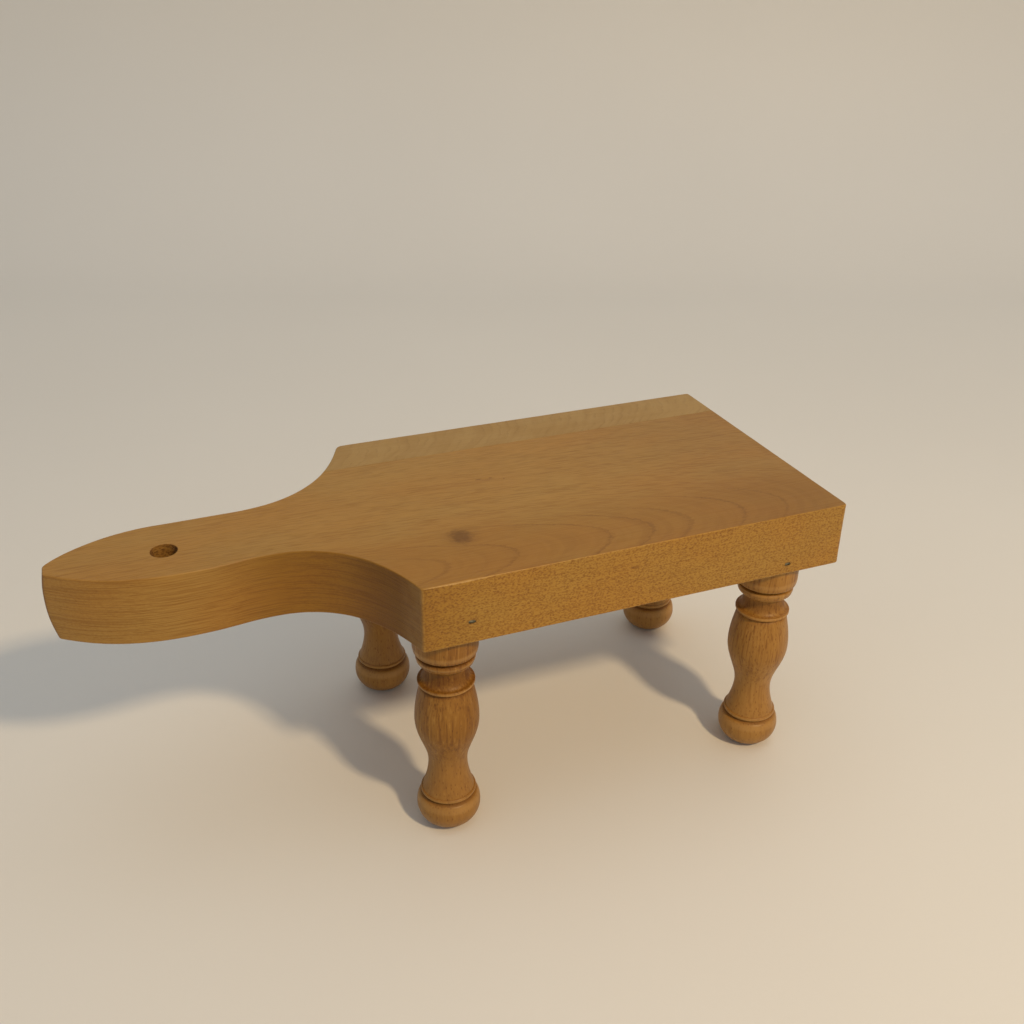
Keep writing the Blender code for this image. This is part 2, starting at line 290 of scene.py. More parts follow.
def board_plan():
    """Evenly spaced outline with each corner rounded as much as on the real board."""
    knots = plan_knots()
    points = []
    for here, there in zip(knots, knots[1:] + knots[:1]):
        points += bezier(here[0], here[2], there[1], there[0], 60)
    points = np.array(points + points[:1])
    along = np.concatenate([[0.0], np.cumsum(np.hypot(*np.diff(points, axis=0).T))])
    count = round(along[-1] / PLAN_STEP)
    even = np.linspace(0.0, along[-1], count, endpoint=False)
    plan = np.column_stack([np.interp(even, along, points[:, k]) for k in (0, 1)])

    # Softer corners at the square end and at the body's back corner, blended in over a few mm
    crisp = softened(plan, CORNER_SOFTNESS)
    at_end = np.clip((plan[:, :1] - HALF_LENGTH + 12.0) / 6.0, 0.0, 1.0)
    at_back = np.clip((plan[:, 1:] - 20.0) / 10.0, 0.0, 1.0) * (1 - at_end)
    at_back = at_back * np.clip((SHOULDER_X + 20.0 - plan[:, :1]) / 8.0, 0.0, 1.0)
    return (crisp * (1 - at_end - at_back) + softened(plan, END_SOFTNESS) * at_end
            + softened(plan, BACK_SOFTNESS) * at_back)


def outward(xy):
    """Unit normals of a closed counter-clockwise outline."""
    step = np.roll(xy, -1, axis=0) - np.roll(xy, 1, axis=0)
    step /= np.hypot(*step.T)[:, None]
    return np.column_stack([step[:, 1], -step[:, 0]])


def arris_radius(plan, face):
    """Radius of the eased edge at each column, for the top (+1) or the underside (-1)."""
    radius = np.full(len(plan), ARRIS)
    if face > 0:
        highlight_weight = np.exp(-((plan[:, 0] - WORN_X) / 6.0) ** 2) * (plan[:, 1] < -HALF_WIDTH + 0.6)
        radius += WORN_ARRIS * highlight_weight
    for i, (x, y) in enumerate(plan):
        radius[i] += 0.06 * wobble(x, y, face * 9.0, 7.0) + 0.035 * wobble(x, y, face * 5.0, 1.6)
    return radius


def ring(plan, height, inset, rim):
    """One loop of the board's skin at these heights, drawn in by inset.

    rim is the radius of the arris, so the side wall ends that far inside the two faces. The
    handle's end is a barrel: it swells towards mid thickness.
    """
    wall_z = np.clip(height, UNDERSIDE_Z + rim, TOP_Z - rim)
    tip_x = -HALF_LENGTH + TIP_BULGE * ((wall_z - MID_Z) / HALF_THICK - TIP_CREST) ** 2
    x, y = plan.T
    gap = x - tip_x
    xy = np.column_stack([tip_x + (gap + np.sqrt(gap * gap + TIP_SOFTNESS ** 2)) / 2 - TIP_SOFTNESS / 6, y])
    xy = xy - outward(xy) * inset[:, None]
    return np.column_stack([xy, height])


def board_rings():
    """Loops of the board's skin from the top face, round the arris and down the wall to the underside."""
    plan = board_plan()
    flat = np.zeros(len(plan))
    upper = arris_radius(plan, 1)
    lower = arris_radius(plan, -1)
    arc = [math.radians(a) for a in ARRIS_ANGLES]
    rings = [ring(plan, flat + TOP_Z, upper + FACE_RIM, upper)]
    for angle in reversed(arc):
        rings.append(ring(
            plan, TOP_Z - upper * (1 - math.sin(angle)), upper * (1 - math.cos(angle)), upper))
    start = TOP_Z - upper
    stop = UNDERSIDE_Z + lower
    for t in WALL_LEVELS:
        height = start + (stop - start) * t
        middle = math.sin(math.pi * t) ** 0.5
        sway = np.array([
            0.05 + 0.05 * wobble(x, y, z, 14.0, 3.1) for (x, y), z in zip(plan, height)])
        rings.append(ring(plan, height, sway * middle, upper))
    for angle in arc:
        rings.append(ring(
            plan, UNDERSIDE_Z + lower * (1 - math.sin(angle)), lower * (1 - math.cos(angle)), lower))
    rings.append(ring(plan, flat + UNDERSIDE_Z, lower + FACE_RIM, lower))
    return rings


def board_skin():
    """The whole board as one closed mesh, before it is divided and cut."""
    rings = board_rings()
    count = len(rings[0])
    faces = []
    for level in range(len(rings) - 1):
        above = level * count
        below = above + count
        for i in range(count):
            j = (i + 1) % count
            faces.append((above + i, below + i, below + j, above + j))
    faces.append(tuple(range(count)))
    last = (len(rings) - 1) * count
    faces.append(tuple(last + i for i in reversed(range(count))))
    return mesh_from("board_skin", np.vstack(rings), faces)


def keep_side(mesh, line_y, keep_back):
    """Closed copy of the mesh on one side of an upright plane along the board."""
    bm = bmesh.new()
    bm.from_mesh(mesh)
    bmesh.ops.bisect_plane(
        bm, geom=bm.verts[:] + bm.edges[:] + bm.faces[:], plane_co=(0.0, line_y * MM, 0.0),
        plane_no=(0.0, 1.0, 0.0), clear_outer=not keep_back, clear_inner=keep_back)
    rim = [edge for edge in bm.edges if edge.is_boundary]
    bmesh.ops.contextual_create(bm, geom=rim)
    bmesh.ops.recalc_face_normals(bm, faces=bm.faces)
    side = bpy.data.meshes.new("side")
    bm.to_mesh(side)
    bm.free()
    return side


def hang_hole_cutter():
    """The drilled hole, with a lip that fingers and sandpaper have rounded."""
    wall = HANG_HOLE_RADIUS
    lip = HANG_HOLE_LIP
    lip_arc = [math.radians(a) for a in (0, 18, 36, 54, 72, 85)]
    upper = [(wall + lip - lip * math.cos(a), TOP_Z - lip + lip * math.sin(a)) for a in lip_arc]
    lower = [(wall + lip - lip * math.cos(a), UNDERSIDE_Z + lip - lip * math.sin(a)) for a in lip_arc]
    above = TOP_Z + HOLE_OVERCUT
    below = UNDERSIDE_Z - HOLE_OVERCUT
    points = [(0.0, above), (wall + lip, above)] + upper[::-1] + lower
    points += [(wall + lip, below), (0.0, below)]
    return turned("hole", points, HANG_HOLE, 72)


def mortise_cutter(side, end):
    centre = centre_mm(f"leg_{side}_{end}")
    radius = TENON_RADIUS + MORTISE_GAP
    top = UNDERSIDE_Z + TENON_LENGTH
    below = UNDERSIDE_Z - HOLE_OVERCUT
    points = [(0.0, top), (radius, top), (radius, below), (0.0, below)]
    return turned("mortise", points, centre, 64)


def bar(name, low, high):
    """Plain box between two corners, for cutting."""
    bm = bmesh.new()
    bmesh.ops.create_cube(bm, size=1.0)
    size = [h - l for l, h in zip(low, high)]
    middle = [(h + l) / 2 for l, h in zip(low, high)]
    bmesh.ops.scale(bm, vec=Vector(size) * MM, verts=bm.verts)
    bmesh.ops.translate(bm, vec=Vector(middle) * MM, verts=bm.verts)
    mesh = bpy.data.meshes.new(name)
    bm.to_mesh(mesh)
    bm.free()
    return new_object(name, mesh)


def wire_slot(side, end):
    """The narrow hole that the brad's wire has made."""
    low, high = box_mm(f"brad_{side}_{end}")
    middle = (low + high) / 2
    across = BRAD_WIRE / 2 + BRAD_SLOT_GAP
    return bar(
        "wire_slot", (middle.x - across, low.y - BRAD_SLOT_GAP, low.z - BRAD_SLOT_GAP),
        (middle.x + across, high.y + BRAD_SLOT_GAP, high.z + BRAD_SLOT_GAP))


def torn_mouth(side, end):
    """The dent round a brad's head: the fibres have closed over its rim, so it widens inwards."""
    low, high = box_mm(f"brad_{side}_{end}")
    middle = (low + high) / 2
    inward = 1 if side == "front" else -1
    face_y = -inward * HALF_WIDTH
    count = 36
    levels = ((-0.6, 0.85), (0.0, 0.72), (0.3, 1.15), (1.0, 1.15))
    verts = []
    for depth, wide in levels:
        for i in range(count):
            angle = math.tau * i / count
            c, s = math.cos(angle), math.sin(angle)
            squareness = (abs(c) ** 3 + abs(s) ** 3) ** (-1 / 3)
            tear = 1 + 0.35 * wobble(5 * c, 5 * s, 0.0, 1.9, seed=middle.x)
            tear += 0.12 * wobble(5 * c, 5 * s, 3.0, 0.8, seed=middle.x)
            verts.append((
                middle.x + wide * tear * squareness * c,
                face_y + inward * depth,
                middle.z + 0.5 * wide * tear * squareness * s))
    faces = []
    last = (len(levels) - 1) * count
    for a in range(0, last, count):
        for i in range(count):
            j = (i + 1) % count
            faces.append((a + i, a + j, a + count + j, a + count + i))
    faces.append(tuple(reversed(range(count))))
    faces.append(tuple(last + i for i in range(count)))
    mesh = mesh_from("mouth", verts, faces)
    bm = bmesh.new()
    bm.from_mesh(mesh)
    bmesh.ops.recalc_face_normals(bm, faces=bm.faces)
    bm.to_mesh(mesh)
    bm.free()
    return new_object("mouth", mesh)


def build_board():
    skin = board_skin()
    staves = {
        "front": new_object("main_stave", keep_side(skin, GLUE_LINE_Y - GLUE_GAP / 2, False)),
        "back": new_object("edge_stave", keep_side(skin, GLUE_LINE_Y + GLUE_GAP / 2, True)),
    }
    mortises = {leg: mortise_cutter(*leg) for leg in LEGS}
    hole = hang_hole_cutter()
    loose = list(mortises.values()) + [hole]
    for side, stave in staves.items():
        cutters = [m for (leg_side, _), m in mortises.items() if leg_side == side or side == "front"]
        if side == "front":
            cutters.append(hole)
        for end in ENDS:
            pair = [torn_mouth(side, end), wire_slot(side, end)]
            cutters += pair
            loose += pair
        cut(stave, cutters)
        shade(stave, sharp_degrees=38, flat_area=6.0)
    for cutter in loose:
        bpy.data.objects.remove(cutter, do_unlink=True)
    return staves["front"], staves["back"]


# ---------------------------------------------------------------- legs and brads

def leg_points(nudge, low_cap):
    """The leg's profile, whose details drift by up to 0.16 mm with nudge, and down by low_cap above
    the belly, as a turner's do from one leg to the next. The foot's flat and the cap's top stay."""
    points = [(0.0, LEG_PROFILE[0][1])]
    for radius, height, way, steps in LEG_PROFILE:
        points += run_to(points[-1], (radius, height), way, steps)
    shifted = []
    for radius, height in points:
        free = max(0.0, min(1.0, height / 5.0, (UNDERSIDE_Z - 2.0 - height) / 4.0))
        drift = free * 0.16 * wobble(height, nudge, 0.0, 9.0)
        drift -= free * low_cap * max(0.0, min(1.0, (height - 32.0) / 8.0))
        slim = free * 0.09 * wobble(height, nudge, 40.0, 11.0)
        shifted.append((radius + slim if radius > 1.0 else radius, height + drift))
    return shifted


def build_leg(side, end, nudge):
    node = f"leg_{side}_{end}"
    points = leg_points(nudge, LOW_CAP.get((side, end), 0.0))
    leg = turned(f"turned_{node}", points, centre_mm(node), LEG_SIDES)
    slot = wire_slot(side, end)
    cut(leg, [slot])
    bpy.data.objects.remove(slot, do_unlink=True)
    shade(leg, sharp_degrees=42)
    return leg


def build_brad(side, end):
    """T-headed wire with a chisel point, driven flush and left a little rough."""
    node = f"brad_{side}_{end}"
    low, high = box_mm(node)
    middle = (low + high) / 2
    length = high.y - low.y
    half_head = (high.x - low.x) / 2
    half_wire = BRAD_WIRE / 2
    half_thick = (high.z - low.z) / 2
    half_plan = [
        (half_head, 0.0), (half_head, 0.6), (half_wire, 0.9), (half_wire, length - 1.6), (0.15, length)]
    plan = half_plan + [(-x, y) for x, y in reversed(half_plan)]
    inward = 1 if side == "front" else -1
    head_y = low.y if inward > 0 else high.y
    bm = bmesh.new()
    verts = [bm.verts.new((inward * x, inward * y, -half_thick)) for x, y in plan]
    face = bm.faces.new(verts)
    solid = bmesh.ops.extrude_face_region(bm, geom=[face])
    upper = [v for v in solid["geom"] if isinstance(v, bmesh.types.BMVert)]
    bmesh.ops.translate(bm, verts=upper, vec=(0.0, 0.0, 2 * half_thick))
    bmesh.ops.recalc_face_normals(bm, faces=bm.faces)
    bmesh.ops.bevel(bm, geom=bm.edges[:], offset=0.09, segments=2, affect="EDGES", profile=0.6)
    for vert in bm.verts:
        x, y, z = vert.co
        vert.co.x += 0.04 * wobble(x, y, z, 0.7, seed=middle.x)
        vert.co.z += 0.03 * wobble(x, y, z, 0.6, seed=middle.x + 4.0)
        vert.co += Vector((middle.x, head_y, middle.z))
        vert.co *= MM
    mesh = bpy.data.meshes.new(node)
    bm.to_mesh(mesh)
    bm.free()
    brad = new_object(f"driven_{node}", mesh)
    shade(brad, sharp_degrees=50)
    return brad


# ---------------------------------------------------------------- materials

class Field:
    """A number that varies over a surface. Arithmetic with it adds Math nodes to its material."""

    def __init__(self, look, socket):
        self.look = look
        self.socket = socket

    def __add__(self, other):
        return self.look.math("ADD", self, other)

    def __sub__(self, other):
        return self.look.math("SUBTRACT", self, other)

    def __rsub__(self, other):
        return self.look.math("SUBTRACT", other, self)

    def __mul__(self, other):
        return self.look.math("MULTIPLY", self, other)

    def __truediv__(self, other):
        return self.look.math("DIVIDE", self, other)

    __radd__ = __add__

    def power(self, exponent):
        return self.look.math("POWER", self, exponent)

    def size(self):
        return self.look.math("ABSOLUTE", self)

    def fraction(self):
        return self.look.math("FRACT", self)

    def eased(self, low, high):
        """0 at low and 1 at high, with a smooth run between; low may be the larger."""
        node = self.look.node(
            "ShaderNodeMapRange", {"Value": self, "From Min": low, "From Max": high},
            interpolation_type="SMOOTHSTEP")
        return Field(self.look, node.outputs[0])


class Look:
    """One procedural material, with short names for the nodes it is made of."""

    def __init__(self, name):
        self.material = bpy.data.materials.new(name)
        self.material.use_nodes = True
        self.tree = self.material.node_tree
        self.shader = self.tree.nodes["Principled BSDF"]

    def plug(self, socket, value):
        if isinstance(value, Field):
            value = value.socket
        if isinstance(value, bpy.types.NodeSocket):
            self.tree.links.new(value, socket)
        elif isinstance(value, tuple) and len(socket.default_value) == 4:
            socket.default_value = (*value[:3], 1.0)
        else:
            socket.default_value = value

    def node(self, kind, inputs=None, **settings):
        node = self.tree.nodes.new(kind)
        for key, value in settings.items():
            setattr(node, key, value)
        for key, value in (inputs or {}).items():
            self.plug(node.inputs[key], value)
        return node

    def math(self, operation, *values):
        node = self.node("ShaderNodeMath", operation=operation)
        for socket, value in zip(node.inputs, values):
            self.plug(socket, value)
        return Field(self, node.outputs[0])

    def split(self, socket):
        node = self.node("ShaderNodeSeparateXYZ", {0: socket})
        return [Field(self, output) for output in node.outputs]

    def place(self):
        """Where a point of the surface is, in mm in the row frame."""
        coordinates = self.node("ShaderNodeTexCoord").outputs["Object"]
        scaled = self.node("ShaderNodeVectorMath", {0: coordinates, 3: 1 / MM}, operation="SCALE")
        return self.split(scaled.outputs[0])

    def facing(self):
        """How much the surface faces along each axis, from 0 to 1."""
        return [part.size() for part in self.split(self.node("ShaderNodeNewGeometry").outputs["Normal"])]

    def vector(self, x, y, z):
        return self.node("ShaderNodeCombineXYZ", {0: x, 1: y, 2: z}).outputs[0]

    def noise(self, x, y, z, detail=2.0, roughness=0.5):
        """Cloudy noise between about -1 and 1, one unit across."""
        node = self.node("ShaderNodeTexNoise", {
            "Vector": self.vector(x, y, z), "Scale": 1.0, "Detail": detail, "Roughness": roughness})
        return Field(self, node.outputs[0]) * 2.0 - 1.0

    def cells(self, x, y, z):
        """Scattered dots: distance to the nearest one, and a random number that it owns."""
        node = self.node("ShaderNodeTexVoronoi", {"Vector": self.vector(x, y, z), "Scale": 1.0})
        own = self.node("ShaderNodeSeparateColor", {0: node.outputs["Color"]})
        return Field(self, node.outputs["Distance"]), Field(self, own.outputs[0])

    def bands(self, value, places, rise, fall):
        """1 at each of these places: it rises over rise before the place and falls over fall after it."""
        node = self.node("ShaderNodeValToRGB", {"Fac": value / RING_SPAN})
        elements = node.color_ramp.elements
        for element in elements:
            element.color = (0.0, 0.0, 0.0, 1.0)
        for place in places:
            for offset, level in ((-rise, 0.0), (0.0, 1.0), (fall, 0.0)):
                element = elements.new((place + offset) / RING_SPAN)
                element.color = (level, level, level, 1.0)
        return Field(self, node.outputs["Color"])

    def blend(self, amount, base, top, kind="MIX"):
        node = self.node("ShaderNodeMix", data_type="RGBA", blend_type=kind, clamp_factor=True)
        for index, value in ((0, amount), (6, base), (7, top)):
            self.plug(node.inputs[index], value)
        return node.outputs[2]

    def darken(self, color, amount, tint):
        """Multiply by a tint where amount is 1."""
        return self.blend(amount, color, tint, "MULTIPLY")

    def finish(self, color, roughness, height, relief_mm):
        bump = self.node("ShaderNodeBump", {
            "Height": height, "Strength": 1.0, "Distance": relief_mm * MM})
        self.plug(self.shader.inputs["Base Color"], color)
        self.plug(self.shader.inputs["Roughness"], roughness)
        self.plug(self.shader.inputs["Normal"], bump.outputs[0])

    def varnish(self, weight, roughness, specular=0.5):
        self.shader.inputs["Coat Weight"].default_value = weight
        self.shader.inputs["Coat Roughness"].default_value = roughness
        self.shader.inputs["Specular IOR Level"].default_value = specular


def bell(x, y, centre, reach_x, reach_y):
    """1 at a place on the surface, fading out over these reaches."""
    dx = (x - centre[0]) / reach_x
    dy = (y - centre[1]) / reach_y
    distance = (dx * dx + dy * dy).power(0.5)
    return distance.eased(1.0, 0.0)


KNOT = (SHOULDER_X + 15.4, -20.2)
HOLLOW = (SHOULDER_X - 10.0, -17.0)      # middle of the painted shade on the handle's front side
MARKS = [                                # small dark marks on the top: centre, reach along x and y
    ((12.6, 6.3), 1.5, 0.35),
    ((15.8, 6.1), 0.7, 0.35),
    ((19.0, 4.6), 0.4, 0.3),
]
STREAK = (34.3, TOP_Z - 5.4)             # on the front long edge: x and z

# Growth rings of the main stave
PITH_Y = -31.5                           # their centre line
PITH_DEPTH = 13.7                        # how deep it lies under the top at the middle of the length
PITH_DIP = 0.2                           # extra depth per mm towards the square end
DARK_RINGS = (12.0, 15.3, 20.0, 22.2, 24.2, 27.2, 29.6)
RING_SPAN = 40.0                         # the widest radius that the rings' ramp covers
RING_SPACING = 1.9                       # on the end grain
EDGE_STAVE_RING_SPACING = 2.1

# Colours of the wood
TOP_WARM = (0.405, 0.208, 0.038)
TOP_PALE = (0.400, 0.226, 0.052)
STRIP_DARK = (0.370, 0.220, 0.060)
STRIP_PALE = (0.395, 0.246, 0.078)
LEG_DARK_AND_SHADED = (0.245, 0.102, 0.006)
LEG_PALE_AND_LIT = (0.395, 0.195, 0.036)
# Colour of the painted highlight on the edges
EDGE_HIGHLIGHT = (0.60, 0.36, 0.10)

# Tints that the colours are multiplied by
# Painted light: the long sides warmer and yellower than the top
SIDE_WARM_LIGHT_TINT = (1.03, 1.01, 0.68)
HANDLE_TINT = (0.92, 0.93, 1.20)
# Painted shade for the handle's front hollow
HOLLOW_SHADE_TINT = (0.71, 0.61, 0.18)
DASH_TINT = (0.64, 0.53, 0.38)
HAIR_TINT = (0.80, 0.72, 0.60)
BRUISE_TINT = (0.45, 0.42, 0.40)
END_GRAIN_TINT = (0.72, 0.62, 0.50)
PORE_TINT = (0.55, 0.45, 0.35)

WOOD_VARNISH = (0.06, 0.3, 0.32)         # weight and roughness of the coat, specular level
BOARD_RELIEF = 0.035
LEG_RELIEF = 0.03


def edge_figure(look, x, y, z, facing_y):
    """Short dark squiggles where the rays meet the long edges, from 0 to 1."""
    wander = look.noise(x / 0.5, y / 5.0, z / 0.4) * 0.35
    near_dash, own = look.cells(x / 0.8, y / 5.0, z / 0.5 + wander)
    mottle = look.noise(x / 0.62, y / 5.0, z / 0.36, 1.0).eased(-0.02, 0.22)
    body_only = facing_y.eased(0.5, 0.85) * y.size().eased(HALF_WIDTH - 1.0, HALF_WIDTH - 0.6)
    return (near_dash.eased(0.55, 0.2) * own.eased(0.0, 0.3) * 0.55 + mottle * 0.65) * body_only


def brad_stain(look, x, z, facing_y, side):
    """Grey bruise in the wood round the brads of one long edge, from 0 to 1."""
    stain = 0.0
    for end in ENDS:
        head = centre_mm(f"brad_{side}_{end}")
        stain = stain + bell(x, z, (head.x, head.z), 1.9, 1.1)
    torn = look.noise(x / 0.5, 0.0, z / 0.35, 2.0) * 0.25
    return (stain + torn * stain.eased(0.0, 0.1)).eased(0.15, 0.8) * facing_y.eased(0.5, 0.85)


def end_rings(growth):
    """Growth rings on end grain, from 0 to 1, where growth rises by one from ring to ring."""
    phase = growth.fraction()
    return phase.eased(0.25, 0.9) * phase.eased(1.0, 0.94)


def end_wood(look, color, place, end_grain, growth, ring_amount, ring_tint):
    """Darker, porous end grain with growth rings at the square end: the colour and the pores."""
    x, y, z = place
    near_pore, _ = look.cells(x / 0.6, y / 0.22, z / 0.22)
    pore = near_pore.eased(0.35, 0.15) * end_grain
    color = look.darken(color, end_grain * 0.8, END_GRAIN_TINT)
    color = look.darken(color, pore * 0.6, PORE_TINT)
    late_wood = end_rings(growth) * end_grain * x.eased(0.0, 40.0)
    return look.darken(color, late_wood * ring_amount, ring_tint), pore


def highlighted_edges(look, x, y, z, facing_x, facing_y, facing_z):
    """Painted highlight along the eased edges and the upright corners, in patches, from 0 to 1."""
    highlight_weight = look.noise(x / 3.0, y / 3.0, z / 3.0).eased(-0.5, 0.5)
    arris = facing_z.eased(0.15, 0.5) * facing_z.eased(0.98, 0.8)
    corner = facing_x.eased(0.15, 0.4) * facing_y.eased(0.15, 0.4) * y.size().eased(30.0, 34.0)
    return (arris + corner).eased(0.0, 1.0) * (highlight_weight * 0.6 + 0.3)


def top_wood(look, color, place, radius, on_top):
    """Waves of the grain and growth rings on top, plainer towards the front: the colour and the waves."""
    x, y, z = place
    plain = y.eased(-8.0, -27.0) * on_top
    broad = look.noise(x / 26.0, radius / 1.5, z / 9.0, 3.0) * on_top
    streaks = look.noise(x / 4.5, radius / 0.4 + look.noise(x / 1.5, y / 1.5, z) * 0.35, z / 4.0, 1.0)
    waves = streaks.eased(-0.12, 0.22) * (0.75 + broad * 0.6) * (1.0 - plain * 0.65) * on_top
    jagged = radius + look.noise(x / 0.9, y / 0.6, z / 2.0, 3.0) * 0.3
    ring = look.bands(jagged, DARK_RINGS, 0.20, 0.08)
    ring = ring * on_top * y.eased(-11.0, -24.0) * look.noise(x / 4.0, y / 3.0, z).eased(-0.7, 0.1)

    color = look.darken(color, plain, (0.86, 0.78, 0.57))
    # Painted shade: the top darkens towards the square end, away from the glare
    color = look.darken(color, x.eased(25.0, 85.0) * on_top * 0.9, (0.87, 0.84, 0.86))
    color = look.darken(color, broad.eased(-0.1, 0.6) * 0.45, (0.86, 0.81, 0.72))
    color = look.darken(color, waves, (0.83, 0.78, 0.66))
    return look.darken(color, ring * 0.65, (0.60, 0.50, 0.38)), waves


def handle_side_wood(look, color, place, off_top):
    """Browner sides of the handle, with painted shade in the front hollow: the colour and the fine level
    lines.
    """
    x, y, z = place
    on_handle = x.eased(SHOULDER_X + 6.0, SHOULDER_X - 14.0)
    color = look.darken(color, on_handle * off_top, HANDLE_TINT)
    level = look.noise(x / 14.0, y / 14.0, z / 0.28 + look.noise(x / 4.0, y / 4.0, z / 2.0) * 0.4, 2.0)
    level = level.eased(-0.08, 0.25) * off_top * x.eased(SHOULDER_X + 0.6, SHOULDER_X - 0.6)
    color = look.darken(color, level * 0.9, (0.80, 0.73, 0.58))
    # Painted shade: the front hollow of the handle is darkened where the light does not reach
    hollow_shade = bell(x, y, HOLLOW, 42.0, 44.0).eased(0.0, 0.75) * off_top
    return look.darken(color, hollow_shade, HOLLOW_SHADE_TINT), level


def bore_wood(look, color, place):
    """Rough fibres in the hanging hole: the colour, where the bore is, and the fibres."""
    x, y, z = place
    from_hole = (x - HANG_HOLE[0]) * (x - HANG_HOLE[0]) + (y - HANG_HOLE[1]) * (y - HANG_HOLE[1])
    bore = from_hole.power(0.5).eased(HANG_HOLE_RADIUS + 0.25, HANG_HOLE_RADIUS + 0.05)
    fibre = look.noise(x / 0.9, y / 0.5, z / 0.35, 3.0, 0.7)
    color = look.darken(color, bore * 0.5, (0.80, 0.74, 0.72))
    color = look.darken(color, bore * fibre.eased(-0.05, 0.25), (0.46, 0.37, 0.31))
    return color, bore, fibre


def knot_and_marks(look, color, place, near_knot, on_top):
    """The colour with the knot, its dirty surround and the small dark marks."""
    x, y, z = place
    rough_edge = look.noise(x / 1.2, y / 0.8, z / 3.0, 3.0) * 0.5
    smudge = (bell(x, y, KNOT, 8.5, 7.0) + rough_edge * near_knot * 0.5).eased(0.1, 0.9) * on_top
    knot = (bell(x, y, KNOT, 4.8, 6.6) + rough_edge * near_knot * 1.3).eased(0.15, 0.95) * on_top
    color = look.darken(color, smudge * 0.6, (0.76, 0.70, 0.55))
    color = look.darken(color, knot * 0.8, (0.50, 0.43, 0.28))
    marks = 0.0
    for centre, reach_x, reach_y in MARKS:
        marks = marks + bell(x, y, centre, reach_x, reach_y)
    return look.darken(color, (marks * on_top).eased(0.1, 0.6) * 0.8, (0.45, 0.34, 0.25))


def main_stave_look():
    look = Look("beech_board_grain")
    x, y, z = place = look.place()
    facing_x, facing_y, facing_z = look.facing()
    on_top = facing_z.eased(0.75, 0.95)
    on_side = facing_y.eased(0.5, 0.85)
    end_grain = facing_x.eased(0.6, 0.9)

    # Fibres run along x, sway a little, and part round the knot
    near_knot = bell(x, y, KNOT, 11.0, 7.0)
    y_bent = y - (y - KNOT[1]) * near_knot * 0.5
    sway = look.noise(x / 40.0, y / 20.0, z / 20.0) + look.noise(x / 6.0, y / 4.0, z / 5.0) * 0.16
    across = y_bent + sway
    lines = look.noise(x / 22.0, across / 0.42, z / 0.36, 3.0, 0.6)
    hairs = look.noise(x / 5.0, across / 0.17, z / 0.15, 2.0, 0.6)
    cloud = look.noise(x / 24.0, y / 13.0, z / 14.0, 2.0)

    # Growth rings round a pith that lies below the front edge and dips towards the square end
    up = z - TOP_Z + PITH_DEPTH + x * PITH_DIP
    out = across - PITH_Y
    radius = (out * out + up * up).power(0.5)

    color = look.blend(cloud.eased(-0.5, 0.5), TOP_WARM, TOP_PALE)
    color, waves = top_wood(look, color, place, radius, on_top)
    color = look.darken(color, lines.eased(-0.2, 0.5) * (on_side * 0.25 + 0.45), HAIR_TINT)
    color = look.darken(color, hairs.eased(-0.1, 0.5) * 0.45, HAIR_TINT)
    # Painted light: the long sides tinted warmer and yellower than the top, as the warm light and the top's
    # sheen make them look
    color = look.darken(color, on_side * 0.9, SIDE_WARM_LIGHT_TINT)
    color, level = handle_side_wood(look, color, place, 1.0 - on_top)
    dash = edge_figure(look, x, y, z, facing_y)
    color = look.darken(color, dash, DASH_TINT)
    stain = brad_stain(look, x, z, facing_y, "front") * y.eased(0.0, -5.0)
    color = look.darken(color, stain * 0.7, BRUISE_TINT)
    streak = (bell(x, z, STREAK, 2.3, 0.45) * on_side).eased(0.15, 0.6)
    color = look.darken(color, streak * 0.7, (0.55, 0.42, 0.30))
    growth = (radius + cloud) / RING_SPACING
    color, pore = end_wood(look, color, place, end_grain, growth, 0.6, (0.72, 0.62, 0.48))
    color, bore, fibre = bore_wood(look, color, place)
    color = knot_and_marks(look, color, place, near_knot, on_top)
    # Painted highlight on the eased edges and corners, strongest along the front top edge by the worn
    # stretch
    edge = highlighted_edges(look, x, y, z, facing_x, facing_y, facing_z)
    highlight_weight = bell(x, y, (WORN_X + 2.0, -HALF_WIDTH), 26.0, 9.0)
    color = look.blend(edge * (highlight_weight * 0.3 + 0.06), color, EDGE_HIGHLIGHT)

    raised = lines * 0.4 + hairs * 0.3 + fibre * bore * 2.5
    sunk = waves * 0.4 + level * 0.5 + dash * 0.8 + pore * 0.8
    rough = 0.42 + lines * 0.05 + cloud * 0.04 + end_grain * 0.14 + bore * 0.3 - edge * 0.06
    look.finish(color, rough, raised - sunk, BOARD_RELIEF)
    look.varnish(*WOOD_VARNISH)
    return look.material


